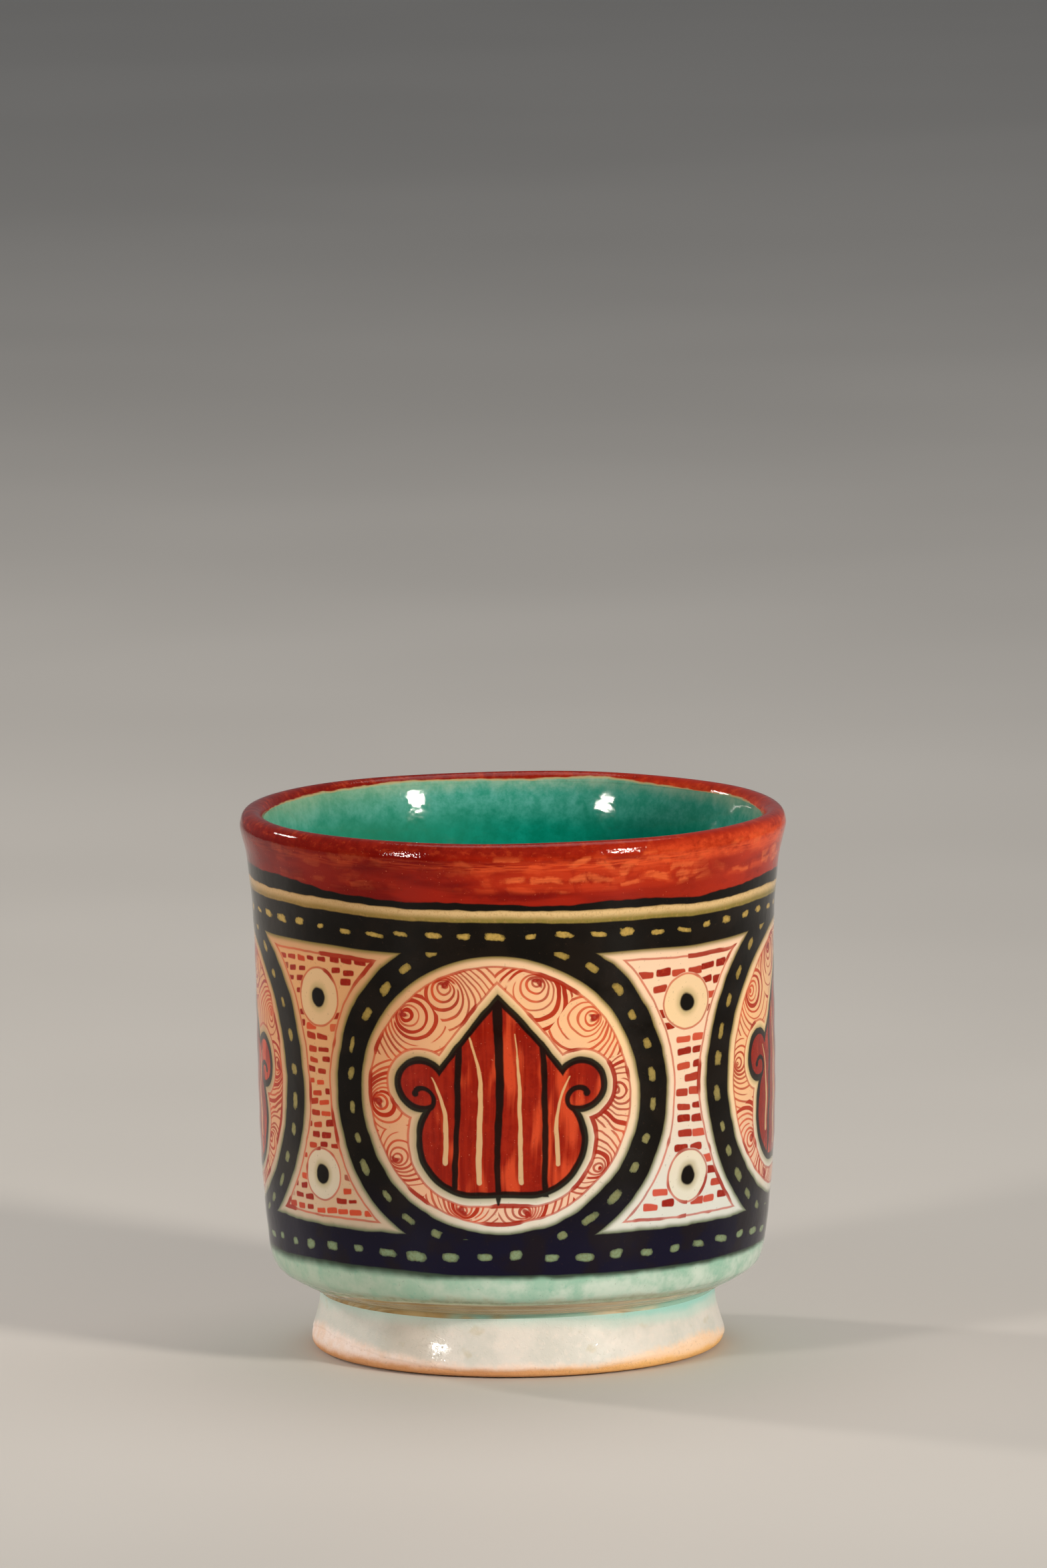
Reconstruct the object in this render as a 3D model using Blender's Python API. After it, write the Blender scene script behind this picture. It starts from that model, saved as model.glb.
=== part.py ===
# Handleless glazed earthenware cup on a flared foot ring.
#
# The clay body is a thrown wall with a floor and a rounded lip.  The foot is
# a second thrown ring, luted to the underside with slip.  Three glaze coats
# lie on the clay: a lining, an outer coat that runs over the lip, and a coat
# on the outside of the foot that stops short of the bare standing edge.
# Metres, +Z up, origin on the standing plane at the axis.

import math

import bmesh
import bpy

MM = 0.001

# ---- driving dimensions (millimetres) --------------------------------------
RIM_RADIUS = 47.5          # widest point of the flared rim
LIP_CREST_Z = 94.2         # top of the lip
LIP_CREST_RADIUS = 45.4
LIP_WIDEST_Z = 92.4        # height of the rim's widest point
LIP_INNER_RADIUS = 43.2    # inner edge of the rounded lip
LIP_INNER_Z = 92.0
WAIST_RADIUS = 45.0        # straight part of the wall
SHOULDER_RADIUS = 42.3     # lower corner where the wall turns under
SHOULDER_Z = 15.7
NECK_RADIUS = 34.35        # where the underside meets the foot
NECK_Z = 10.9
INNER_RADIUS = 40.6        # bore of the straight wall
FLOOR_Z = 15.6             # inside floor at the axis
FOOT_WIDEST_RADIUS = 36.0
FOOT_WIDEST_Z = 2.2
FOOT_CONTACT_RADIUS = 34.8
FOOT_INNER_RADIUS = 28.5
FOOT_GLAZE_LOW_Z = 3.1     # glaze stops here, bare clay below
GLAZE = 0.4                # thickness of a glaze coat
GAP = 0.3                  # clearance kept between neighbouring pieces
SLIP = 0.4                 # thickness of the luting slip
SEGMENTS = 48              # facets around the axis

# ---- colours (linear) ------------------------------------------------------
CLAY_COLOUR = (0.62, 0.40, 0.27, 1.0)
SLIP_COLOUR = (0.55, 0.36, 0.25, 1.0)
LINING_COLOUR = (0.05, 0.30, 0.17, 1.0)
COAT_COLOUR = (0.36, 0.06, 0.03, 1.0)
FOOT_GLAZE_COLOUR = (0.60, 0.58, 0.50, 1.0)


def spline(stations, steps):
    """Catmull-Rom curve through (radius, height) stations."""
    pts = [stations[0]] + list(stations) + [stations[-1]]
    out = []
    for i in range(1, len(pts) - 2):
        p0, p1, p2, p3 = pts[i - 1], pts[i], pts[i + 1], pts[i + 2]
        for k in range(steps):
            t = k / steps
            row = []
            for a, b, c, d in zip(p0, p1, p2, p3):
                row.append(0.5 * (2 * b + (c - a) * t
                                  + (2 * a - 5 * b + 4 * c - d) * t * t
                                  + (3 * b - a - 3 * c + d) * t ** 3))
            out.append(tuple(row))
    out.append(stations[-1])
    return out


def quarter(cx, cz, a, b, start, end, steps):
    """Part of an ellipse, angles in degrees, both ends included."""
    out = []
    for k in range(steps + 1):
        t = math.radians(start + (end - start) * k / steps)
        out.append((cx + a * math.cos(t), cz + b * math.sin(t)))
    return out


def offset(line, d):
    """Copy of an open polyline moved by d to the left of its direction."""
    normals = []
    for (r0, z0), (r1, z1) in zip(line, line[1:]):
        n = math.hypot(r1 - r0, z1 - z0)
        normals.append((-(z1 - z0) / n, (r1 - r0) / n))
    out = []
    for i, (r, z) in enumerate(line):
        a = normals[max(i - 1, 0)]
        b = normals[min(i, len(normals) - 1)]
        mx, mz = a[0] + b[0], a[1] + b[1]
        scale = 2.0 / max(mx * mx + mz * mz, 1.0)
        on_axis = r == 0.0
        out.append((0.0 if on_axis else r + d * mx * scale, z + d * mz * scale))
    return out


def material(name, colour, roughness):
    mat = bpy.data.materials.new(name)
    mat.use_nodes = True
    bsdf = mat.node_tree.nodes["Principled BSDF"]
    bsdf.inputs["Base Color"].default_value = colour
    bsdf.inputs["Roughness"].default_value = roughness
    bsdf.inputs["Metallic"].default_value = 0.0
    return mat


def turned(name, profile, closed, mat):
    """Solid of revolution of a (radius, height) profile in millimetres."""
    bm = bmesh.new()
    verts = [bm.verts.new((r * MM, 0.0, z * MM)) for r, z in profile]
    edges = [bm.edges.new((a, b)) for a, b in zip(verts, verts[1:])]
    if closed:
        edges.append(bm.edges.new((verts[-1], verts[0])))
    bmesh.ops.spin(bm, geom=verts + edges, cent=(0, 0, 0), axis=(0, 0, 1),
                   angle=2 * math.pi, steps=SEGMENTS, use_merge=True,
                   use_duplicate=False)
    bmesh.ops.remove_doubles(bm, verts=bm.verts[:], dist=1e-6)
    bmesh.ops.recalc_face_normals(bm, faces=bm.faces[:])
    mesh = bpy.data.meshes.new(name)
    bm.to_mesh(mesh)
    bm.free()
    mesh.shade_smooth()
    mesh.set_sharp_from_angle(angle=math.radians(40))
    obj = bpy.data.objects.new(name, mesh)
    obj.data.materials.append(mat)
    bpy.context.scene.collection.objects.link(obj)
    return obj


for old in list(bpy.data.objects):
    bpy.data.objects.remove(old, do_unlink=True)

# ---- finished surface of the cup, from the neck over the lip to the floor --
outside = spline([
    (NECK_RADIUS - 0.05, NECK_Z - 0.6),
    (NECK_RADIUS + 0.55, NECK_Z),
    (37.4, 12.1),
    (39.7, 13.3),
    (SHOULDER_RADIUS - 0.9, 14.4),
    (SHOULDER_RADIUS, SHOULDER_Z),
    (42.85, 17.4),
    (43.35, 21.0),
], 1) + spline([
    (44.25, 30.0),
    (44.8, 42.0),
    (WAIST_RADIUS, 58.0),
    (WAIST_RADIUS + 0.1, 72.0),
    (45.6, 80.5),
    (46.35, 86.2),
    (47.0, 89.8),
], 1)
lip_out = quarter(LIP_CREST_RADIUS, LIP_WIDEST_Z,
                  RIM_RADIUS - LIP_CREST_RADIUS, LIP_CREST_Z - LIP_WIDEST_Z,
                  0, 90, 3)
lip_in = quarter(LIP_CREST_RADIUS, LIP_INNER_Z,
                 LIP_CREST_RADIUS - LIP_INNER_RADIUS,
                 LIP_CREST_Z - LIP_INNER_Z, 90, 180, 3)[1:]
inside = [
    (42.2, 87.0),
    (41.5, 80.0),
    (INNER_RADIUS + 0.2, 68.0),
    (INNER_RADIUS, 52.0),
    (INNER_RADIUS - 0.3, 38.0),
    (39.5, 27.0),
    (37.9, 21.4),
    (34.6, 17.8),
    (29.0, 16.3),
    (16.0, 15.8),
    (0.0, FLOOR_Z),
]
coat_line = outside + lip_out + lip_in            # outer coat, over the lip
lr, lz = lip_in[-1]
lining_line = [(lr - 0.05, lz - GAP)] + inside    # lining starts below it

# ---- glaze coats ------------------------------------------------------------
outer_glaze = coat_line + offset(coat_line, GLAZE)[::-1]
inner_glaze = lining_line[::-1] + offset(lining_line, GLAZE)

# ---- clay body --------------------------------------------------------------
clay_line = offset(coat_line[:-1] + inside, GLAZE + GAP)
under_z = clay_line[0][1]
thrown_body = [(0.0, under_z)] + clay_line

# ---- foot ring, slip and foot glaze -----------------------------------------
foot_top_z = under_z - 2 * GAP - SLIP
foot_side = spline([
    (NECK_RADIUS, NECK_Z - 1.0),
    (34.8, 6.6),
    (35.4, 4.6),
    (FOOT_WIDEST_RADIUS - 0.1, FOOT_GLAZE_LOW_Z),
], 1)
foot_glaze = foot_side[::-1] + offset(foot_side[::-1], GLAZE)[::-1]
foot_clay_side = offset(foot_side[::-1], GLAZE + GAP)
foot_ring = [
    (FOOT_INNER_RADIUS, foot_top_z),
    (FOOT_INNER_RADIUS + 0.3, 1.2),
    (FOOT_INNER_RADIUS + 1.3, 0.0),
    (FOOT_CONTACT_RADIUS, 0.0),
    (FOOT_WIDEST_RADIUS - 0.25, 0.8),
    (FOOT_WIDEST_RADIUS, FOOT_WIDEST_Z),
    (FOOT_WIDEST_RADIUS - 0.1, FOOT_GLAZE_LOW_Z - GAP),
] + [p for p in foot_clay_side if p[1] < foot_top_z - 0.2] + [
    (NECK_RADIUS - GLAZE - GAP - 0.1, foot_top_z),
]
slip_low = foot_top_z + GAP
slip_high = under_z - GAP
slip_out = NECK_RADIUS - GLAZE - GAP - 0.3
luting_slip = [
    (FOOT_INNER_RADIUS + 0.4, slip_low),
    (slip_out, slip_low),
    (slip_out, slip_high),
    (FOOT_INNER_RADIUS + 0.4, slip_high),
]

clay = material("earthenware", CLAY_COLOUR, 0.75)
turned("thrown_body", thrown_body, False, clay)
turned("foot_ring", foot_ring, True, material("foot_earthenware", CLAY_COLOUR, 0.75))
turned("luting_slip", luting_slip, True, material("slip", SLIP_COLOUR, 0.8))
turned("inner_glaze", inner_glaze, False, material("lining_glaze", LINING_COLOUR, 0.12))
turned("outer_glaze", outer_glaze, True, material("coat_glaze", COAT_COLOUR, 0.12))
turned("foot_glaze", foot_glaze, True, material("foot_coat", FOOT_GLAZE_COLOUR, 0.2))
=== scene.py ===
# Looks of a handleless glazed earthenware cup on a flared foot ring:
# turned meshes with the marks of the wheel, painted glazes as node materials,
# a plain pale floor and soft lamps.

import math

import bpy  # noqa: E402
import numpy as np  # noqa: E402
from mathutils import Matrix, Vector  # noqa: E402


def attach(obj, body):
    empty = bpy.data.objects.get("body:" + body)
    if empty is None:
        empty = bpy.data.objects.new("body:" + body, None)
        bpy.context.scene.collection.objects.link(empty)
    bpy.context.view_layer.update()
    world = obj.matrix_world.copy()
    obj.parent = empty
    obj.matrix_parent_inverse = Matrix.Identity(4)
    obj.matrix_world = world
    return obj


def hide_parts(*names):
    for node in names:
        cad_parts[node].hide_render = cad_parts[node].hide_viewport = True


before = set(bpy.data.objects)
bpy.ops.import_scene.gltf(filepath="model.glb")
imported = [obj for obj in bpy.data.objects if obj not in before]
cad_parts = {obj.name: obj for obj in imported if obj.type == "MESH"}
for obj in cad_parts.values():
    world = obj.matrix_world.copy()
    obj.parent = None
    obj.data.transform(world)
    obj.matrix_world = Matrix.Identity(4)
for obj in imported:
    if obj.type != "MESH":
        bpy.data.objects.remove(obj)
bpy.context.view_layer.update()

MM = 0.001
PI = math.pi

# ============================================================================
# Turned profiles, in millimetres (radius, height)
# ============================================================================


def smooth_line(points, step):
    """Natural cubic spline through points, sampled about every step mm."""
    p = np.array(points, float)
    t = np.concatenate([[0], np.cumsum(np.hypot(*np.diff(p, axis=0).T))])
    n = len(t)
    h = np.diff(t)
    a = np.zeros((n, n))
    b = np.zeros((n, 2))
    a[0, 0] = a[-1, -1] = 1.0
    for i in range(1, n - 1):
        a[i, i - 1], a[i, i], a[i, i + 1] = h[i - 1], 2 * (h[i - 1] + h[i]), h[i]
        b[i] = 6 * ((p[i + 1] - p[i]) / h[i] - (p[i] - p[i - 1]) / h[i - 1])
    m = np.linalg.solve(a, b)
    count = max(2, int(round(t[-1] / step)))
    out = []
    for s in np.linspace(0, t[-1], count + 1):
        i = min(int(np.searchsorted(t, s, side="right")) - 1, n - 2)
        d0, d1 = s - t[i], t[i + 1] - s
        out.append(
            (m[i] * d1**3 + m[i + 1] * d0**3) / (6 * h[i])
            + (p[i] / h[i] - m[i] * h[i] / 6) * d1
            + (p[i + 1] / h[i] - m[i + 1] * h[i] / 6) * d0
        )
    return np.array(out)


def arc(cx, cz, a, b, start, end, steps):
    t = np.radians(np.linspace(start, end, steps + 1))
    return np.stack([cx + a * np.cos(t), cz + b * np.sin(t)], 1)


def inward(line, d):
    """Polyline moved by d to the left of its direction."""
    t = np.gradient(line, axis=0)
    t /= np.linalg.norm(t, axis=1)[:, None]
    return line + d * np.stack([-t[:, 1], t[:, 0]], 1)


def thin_out(line, keep):
    """About keep points of a polyline, both ends kept."""
    pick = np.unique(np.round(np.linspace(0, len(line) - 1, keep)).astype(int))
    return line[pick]


UNDERSIDE = smooth_line(
    [(34.3, 10.1), (34.55, 10.75), (35.4, 11.25), (37.4, 12.1), (39.7, 13.3), (41.1, 14.15)], 0.22
)
CORNER = smooth_line(
    [(41.1, 14.15), (41.75, 14.75), (42.3, 15.7), (42.8, 17.25), (43.08, 18.6)], 0.3
)
UPRIGHT = smooth_line(
    [
        (43.08, 18.6),
        (43.38, 21.0),
        (43.8, 25.0),
        (44.25, 30.0),
        (44.8, 41.0),
        (45.0, 56.0),
        (45.05, 69.0),
        (45.4, 78.0),
        (46.0, 84.0),
        (46.68, 88.3),
        (47.36, 91.0),
        (47.44, 91.6),
        (47.40, 92.05),
        (47.31, 92.45),
        (47.21, 92.85),
        (46.96, 93.4),
        (46.58, 93.8),
        (46.08, 94.05),
        (45.4, 94.2),
    ],
    0.15,
)
LIP_START = int(np.argmax(UPRIGHT[:, 1] > 90.4))
WALL = UPRIGHT[:LIP_START:5]
LIP = np.concatenate([UPRIGHT[LIP_START:], arc(45.4, 92.0, 2.2, 2.2, 90, 163, 15)[1:]])
COAT = np.concatenate([UNDERSIDE, CORNER[1:], WALL[1:], LIP])
LINING = np.concatenate(
    [
        [(43.56, 93.0), (43.38, 92.76)],
        smooth_line(
            [
                (43.30, 92.64),
                (42.897, 91.0),
                (42.559, 89.5),
                (42.249, 88.0),
                (41.970, 86.5),
                (41.655, 84.5),
                (41.355, 82.0),
                (41.106, 79.0),
                (40.890, 75.0),
                (40.725, 70.0),
                (40.580, 60.0),
                (40.500, 50.0),
                (40.3, 38.0),
                (39.5, 27.5),
                (37.9, 21.6),
                (34.4, 17.9),
                (28.5, 16.35),
                (16.0, 15.8),
                (0.0, 15.6),
            ],
            0.9,
        ),
    ]
)

# ============================================================================
# Marks of the wheel and the hand
# ============================================================================


def wobble(r, z, th, ripple=0.035):
    """Small radial and vertical movement of the finished surface, in mm."""
    up = np.clip((z - 10.0) / 84.0, 0, 1)
    lipness = np.clip((z - 82.0) / 11.0, 0, 1) ** 2
    dr = up * (0.16 * np.sin(2 * th + 0.9) + 0.07 * np.sin(3 * th + 2.1))
    dr = dr + ripple * np.sin(2 * PI * z / 7.3 + 0.8 * np.sin(th + 0.4))
    dr = dr + 0.30 * np.sin(th) * np.exp(-(((z - 42.0) / 22.0) ** 2))
    dr = dr + lipness * (0.10 * np.sin(5 * th + 0.3) + 0.06 * np.sin(9 * th + 1.7))
    dz = lipness * (
        0.16 * np.sin(th + 2.2) + 0.10 * np.sin(3 * th + 0.5) + 0.05 * np.sin(7 * th)
    )
    dz = dz + 0.0 * r
    return dr, dz


def ridge_shift(th):
    """How far the edge of the outer coat draws in towards the foot at the sides."""
    v = 1.0 - np.abs(np.cos(th))
    return np.minimum(10.0 * v * v, 5.2)


def turning_marks(line_r, line_z, th):
    """Fine scraped rings on the underside between the foot and the corner."""
    zone = np.clip((line_r - 34.9) / 0.8, 0, 1) * np.clip((41.7 - line_r) / 0.4, 0, 1)
    drift = 0.5 * np.sin(th * 1.0 + 0.8) + 0.25 * np.sin(2 * th + 2.0)
    rings = 0.04 * np.sin(2 * PI * (line_r + drift) / 1.55)
    rings = rings + 0.03 * np.sin(2 * PI * (line_r + 1.3 * drift) / 0.7 + 1.0)
    edge = line_r + ridge_shift(th)
    ridge = 0.17 * np.exp(-(((edge - 40.65) / 0.24) ** 2))
    ridge = ridge + 0.10 * np.exp(-(((edge - 39.6 + 0.5 * drift) / 0.20) ** 2))
    return zone * (rings + ridge)


SEGMENTS = 320


def turned(name, rows, closed, marks=None, hidden_from=None, segments=SEGMENTS):
    """Closed mesh from rows of (r, z) in mm; rows on the axis become one point.

    marks(r, z, th) gives (dr, dz) in mm.  hidden_from is the index of the
    first row on the unseen back of a coat, which gets little map space.
    """
    rows = [tuple(map(float, p)) for p in rows]
    th = np.linspace(-PI, PI, segments, endpoint=False)
    verts, index = [], []
    for r, z in rows:
        if r < 1e-6:
            index.append([len(verts)] * segments)
            verts.append((0.0, 0.0, z * MM))
            continue
        dr, dz = marks(np.full_like(th, r), np.full_like(th, z), th) if marks else (0 * th, 0 * th)
        rr, zz = (r + dr) * MM, (z + dz) * MM
        start = len(verts)
        index.append(list(range(start, start + segments)))
        verts.extend(zip(rr * np.sin(th), -rr * np.cos(th), zz))
    faces, face_uv = [], []
    arr = np.array(rows)
    length = np.hypot(*np.diff(np.concatenate([arr, arr[:1]]), axis=0).T)
    last = len(rows) if closed else len(rows) - 1
    hidden_from = last if hidden_from is None else hidden_from
    seen = np.concatenate([[0], np.cumsum(length[:hidden_from])])
    seen = seen / max(seen[-1], 1e-9)
    back = np.concatenate([[0], np.cumsum(length[hidden_from:last])])
    back = back / max(back[-1], 1e-9)
    tall = 0.472 if hidden_from < last else 0.492
    for i in range(last):
        a, b = index[i], index[(i + 1) % len(rows)]
        if i < hidden_from:
            v0, v1 = seen[i] * tall, seen[i + 1] * tall
        else:
            j = i - hidden_from
            v0, v1 = back[j] * 0.02, back[j + 1] * 0.02
        for s in range(segments):
            t = (s + 1) % segments
            # two strips: the front half and the back half of the turn
            f = ((s / segments) - 0.25) % 1.0
            strip = 0 if f < 0.5 else 1
            u0 = 0.004 + 0.992 * ((f % 0.5) * 2)
            u1 = 0.004 + 0.992 * ((f % 0.5) * 2 + 2.0 / segments)
            if i < hidden_from:
                base = 0.004 + strip * 0.5
            else:
                base = 0.004 + strip * 0.5 + 0.4745
            q = [(a[s], (u0, base + v0)), (b[s], (u0, base + v1)),
                 (b[t], (u1, base + v1)), (a[t], (u1, base + v0))]
            seen_v, corner = [], []
            for v, uv in q:
                if v not in seen_v:
                    seen_v.append(v)
                    corner.append(uv)
            if len(seen_v) > 2:
                faces.append(seen_v)
                face_uv.extend(corner)
    mesh = bpy.data.meshes.new(name)
    mesh.from_pydata(verts, [], faces)
    layer = mesh.uv_layers.new(name="OFBake")
    layer.data.foreach_set("uv", np.array(face_uv, np.float32).ravel())
    mesh.update()
    # outward faces: flip everything if the signed volume is negative
    volume = 0.0
    co = np.array(verts)
    mesh.calc_loop_triangles()
    tri = np.zeros(len(mesh.loop_triangles) * 3, np.int32)
    mesh.loop_triangles.foreach_get("vertices", tri)
    t3 = co[tri.reshape(-1, 3)]
    volume = np.einsum("ij,ij->i", t3[:, 0], np.cross(t3[:, 1], t3[:, 2])).sum()
    if volume < 0:
        mesh.flip_normals()
    mesh.shade_smooth()
    mesh.set_sharp_from_angle(angle=math.radians(50))
    obj = bpy.data.objects.new(name, mesh)
    bpy.context.scene.collection.objects.link(obj)
    return obj


def coat_marks(r, z, th):
    dr, dz = wobble(r, z, th)
    under = turning_marks(r, z, th) * (z < 14.6)
    return dr + 0.5 * under, dz - 0.85 * under


def back_marks(r, z, th):
    return wobble(r, z, th)


def lining_marks(r, z, th):
    dr, dz = wobble(r, z, th, 0.035 * np.clip((84.0 - z) / 8.0, 0, 1))
    fade = np.clip((88.0 - z) / 8.0, 0, 1) * np.clip((z - 16.6) / 6.0, 0, 1)
    dr = dr + fade * 0.04 * np.sin(2 * PI * z / 8.5 + th)
    floor = np.clip((20.0 - z) / 3.0, 0, 1) * np.clip(r / 4.0, 0, 1)
    dz = dz + floor * 0.10 * np.sin(2 * PI * r / 7.0 + th)
    return dr, dz


coat_back = thin_out(inward(COAT, 0.28), 40)[::-1]
outer_coat = turned(
    "outer_glaze_coat",
    np.concatenate([COAT, coat_back]),
    True,
    coat_marks,
    hidden_from=len(COAT),
)
lining_back = thin_out(inward(LINING, 0.28), 30)
lining_back[-1] = (0.0, 15.3)
lining = turned(
    "inner_glaze_lining",
    np.concatenate([LINING[::-1], lining_back]),
    False,
    lining_marks,
    hidden_from=len(LINING),
    segments=240,
)

# ---- foot: clay ring, and a coat with an uneven lower edge ------------------
FOOT_TOP = 10.36               # where the foot's coat starts in the crease
FOOT_SIDE = smooth_line(
    [
        (34.28, 10.4),
        (34.32, 9.4),
        (34.45, 8.1),
        (34.72, 6.7),
        (35.14, 5.1),
        (35.65, 3.5),
        (35.97, 2.3),
        (35.92, 1.35),
        (35.5, 0.55),
        (34.8, 0.12),
        (34.0, 0.0),
    ],
    0.22,
)


def foot_wobble(th):
    return 0.10 * np.sin(2 * th + 0.4) + 0.06 * np.sin(3 * th + 1.9)


def foot_clay_marks(r, z, th):
    out = np.clip((r - 31.0) / 2.0, 0, 1)
    dr = out * (foot_wobble(th) - 0.02)
    dr = dr + out * 0.02 * np.sin(2 * PI * z / 1.7 + 3 * np.sin(th))
    dz = np.clip(z / 0.6, 0, 1) * 0.0 * th
    return dr, dz


clay_outer = inward(FOOT_SIDE[::-1], 0.16)[::-1]
clay_outer[:, 1] = np.maximum(clay_outer[:, 1], 0.0)
clay_ring = np.concatenate(
    [
        clay_outer,
        [(32.2, 0.0), (30.8, 0.0), (29.8, 0.05), (29.2, 0.45), (28.85, 1.2)],
        [(28.7, 3.0), (28.6, 5.5), (28.5, 8.5), (28.5, 9.75), (30.0, 9.8), (33.0, 10.0)],
    ]
)
clay_ring[clay_ring[:, 1] < 0.02, 1] = 0.0
foot_clay = turned("foot_clay_ring", clay_ring, True, foot_clay_marks)


def foot_edge(th):
    """Height where the foot's glaze stops, in mm, round the ring."""
    z = 1.15 + 0.22 * np.sin(3 * th + 0.5) + 0.12 * np.sin(7 * th + 2.0)
    z = z + 0.10 * np.sin(13 * th + 0.7) + 0.06 * np.sin(29 * th)
    for centre, width, lift in (
        (-1.25, 0.46, 3.3),
        (-0.62, 0.26, 1.0),
        (1.15, 0.30, 2.2),
        (0.75, 0.24, 0.6),
        (2.9, 0.5, 1.9),
        (-2.3, 0.35, 1.3),
    ):
        d = (th - centre + PI) % (2 * PI) - PI
        z = z + lift * np.exp(-((d / width) ** 2))
    return z


def foot_coat_mesh():
    """Glaze on the foot: a thin shell from the crease to its uneven edge."""
    seg, steps = SEGMENTS, 34
    th = np.linspace(-PI, PI, seg, endpoint=False)
    edge = foot_edge(th)
    fz, fr = FOOT_SIDE[::-1, 1], FOOT_SIDE[::-1, 0]
    verts = []
    rows = steps + 1
    for face in (0, 1):
        for i in range(rows):
            t = i / steps
            z = FOOT_TOP + (edge - FOOT_TOP) * t
            r = np.interp(z, fz, fr) + foot_wobble(th)
            thick = np.where(t < 0.93, 0.0, ((t - 0.93) / 0.07) ** 2 * 0.15)
            if face == 0:
                rr = r - thick
            else:
                rr = r - 0.24
                if i == rows - 1:
                    z = z + 0.10
            verts.extend(zip(rr * np.sin(th) * MM, -rr * np.cos(th) * MM, z * MM))
    above = np.tile(np.concatenate([(FOOT_TOP - edge) * (1 - i / steps) for i in range(rows)]), 2)
    faces, uvs = [], []

    def at(face, i, s):
        return (face * rows + i) * seg + s % seg

    def put(q, v0, v1, s, hidden):
        f = ((s / seg) - 0.25) % 1.0
        strip = 0 if f < 0.5 else 1
        u0 = 0.004 + 0.992 * ((f % 0.5) * 2)
        u1 = 0.004 + 0.992 * ((f % 0.5) * 2 + 2.0 / seg)
        base = 0.004 + strip * 0.5 + (0.4745 if hidden else 0.0)
        faces.append(q)
        uvs.extend([(u0, base + v0), (u1, base + v0), (u1, base + v1), (u0, base + v1)])

    for s in range(seg):
        for i in range(steps):
            v0, v1 = 0.472 * i / steps, 0.472 * (i + 1) / steps
            put([at(0, i, s), at(0, i, s + 1), at(0, i + 1, s + 1), at(0, i + 1, s)], v0, v1, s, False)
            put([at(1, i, s), at(1, i + 1, s), at(1, i + 1, s + 1), at(1, i, s + 1)], 0.02 * i / steps, 0.02 * (i + 1) / steps, s, True)
        put([at(0, 0, s), at(1, 0, s), at(1, 0, s + 1), at(0, 0, s + 1)], 0, 0.001, s, True)
        n = steps
        put([at(0, n, s), at(0, n, s + 1), at(1, n, s + 1), at(1, n, s)], 0.019, 0.02, s, True)
    mesh = bpy.data.meshes.new("foot_glaze_coat")
    mesh.from_pydata(verts, [], faces)
    mark = mesh.attributes.new("above_edge", "FLOAT", "POINT")
    mark.data.foreach_set("value", above.astype(np.float32))
    layer = mesh.uv_layers.new(name="OFBake")
    layer.data.foreach_set("uv", np.array(uvs, np.float32).ravel())
    mesh.update()
    mesh.calc_loop_triangles()
    co = np.array(verts)
    tri = np.zeros(len(mesh.loop_triangles) * 3, np.int32)
    mesh.loop_triangles.foreach_get("vertices", tri)
    t3 = co[tri.reshape(-1, 3)]
    if np.einsum("ij,ij->i", t3[:, 0], np.cross(t3[:, 1], t3[:, 2])).sum() < 0:
        mesh.flip_normals()
    mesh.shade_smooth()
    mesh.set_sharp_from_angle(angle=math.radians(60))
    obj = bpy.data.objects.new("foot_glaze_coat", mesh)
    bpy.context.scene.collection.objects.link(obj)
    return obj


foot_coat = foot_coat_mesh()

# ---- clay of the body, seen only under the foot -----------------------------
clay_out = thin_out(inward(COAT, 0.42), 60)
clay_in = thin_out(inward(LINING[4:], 0.42), 36)
clay_in[-1] = (0.0, 15.1)
under = np.stack([np.linspace(0, 28.6, 66), 10.78 - 0.25 * np.cos(np.linspace(0, PI / 2, 66))], 1)
body_rows = np.concatenate([under, [(31.0, 10.78), (33.6, 10.78)], clay_out[2:], clay_in])


def body_marks(r, z, th):
    dr, dz = wobble(r, z, th)
    floor = (z < 10.9) * np.clip(r / 2.0, 0, 1) * np.clip((28.4 - r) / 1.0, 0, 1)
    spiral = 0.11 * np.sin(2 * PI * r / 3.1 + th) + 0.05 * np.sin(2 * PI * r / 1.4 - th)
    return dr * (z > 13), dz + floor * spiral


body_clay = turned("thrown_clay_body", body_rows, False, body_marks, segments=200)

# ---- slip in the joint, with a small bead squeezed out inside ----------------
slip_rows = np.concatenate(
    [
        arc(28.75, 10.22, 0.62, 0.46, 90, 270, 8),
        [(30.5, 10.0), (33.2, 10.03), (33.35, 10.2), (33.2, 10.42), (30.5, 10.46)],
    ]
)


def slip_marks(r, z, th):
    bead = np.clip((29.2 - r) / 0.8, 0, 1)
    return bead * (0.14 * np.sin(11 * th) + 0.10 * np.sin(23 * th + 1.1)), 0 * th


slip = turned("luting_slip_bead", slip_rows, True, slip_marks, segments=200)

for piece, node, slot in (
    (outer_coat, "outer_glaze", "coat_glaze"),
    (lining, "inner_glaze", "lining_glaze"),
    (foot_coat, "foot_glaze", "foot_coat"),
    (foot_clay, "foot_ring", "foot_earthenware"),
    (body_clay, "thrown_body", "earthenware"),
    (slip, "luting_slip", "slip"),
):
    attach(piece, "root")
    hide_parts(node)

# ============================================================================
# Node materials written as arithmetic
# ============================================================================

TREE = None


def lin(r, g, b):
    """Linear colour from 0-255 sRGB."""
    out = []
    for c in (r, g, b):
        c = c / 255.0
        out.append(c / 12.92 if c <= 0.04045 else ((c + 0.055) / 1.055) ** 2.4)
    return (*out, 1.0)


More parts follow.
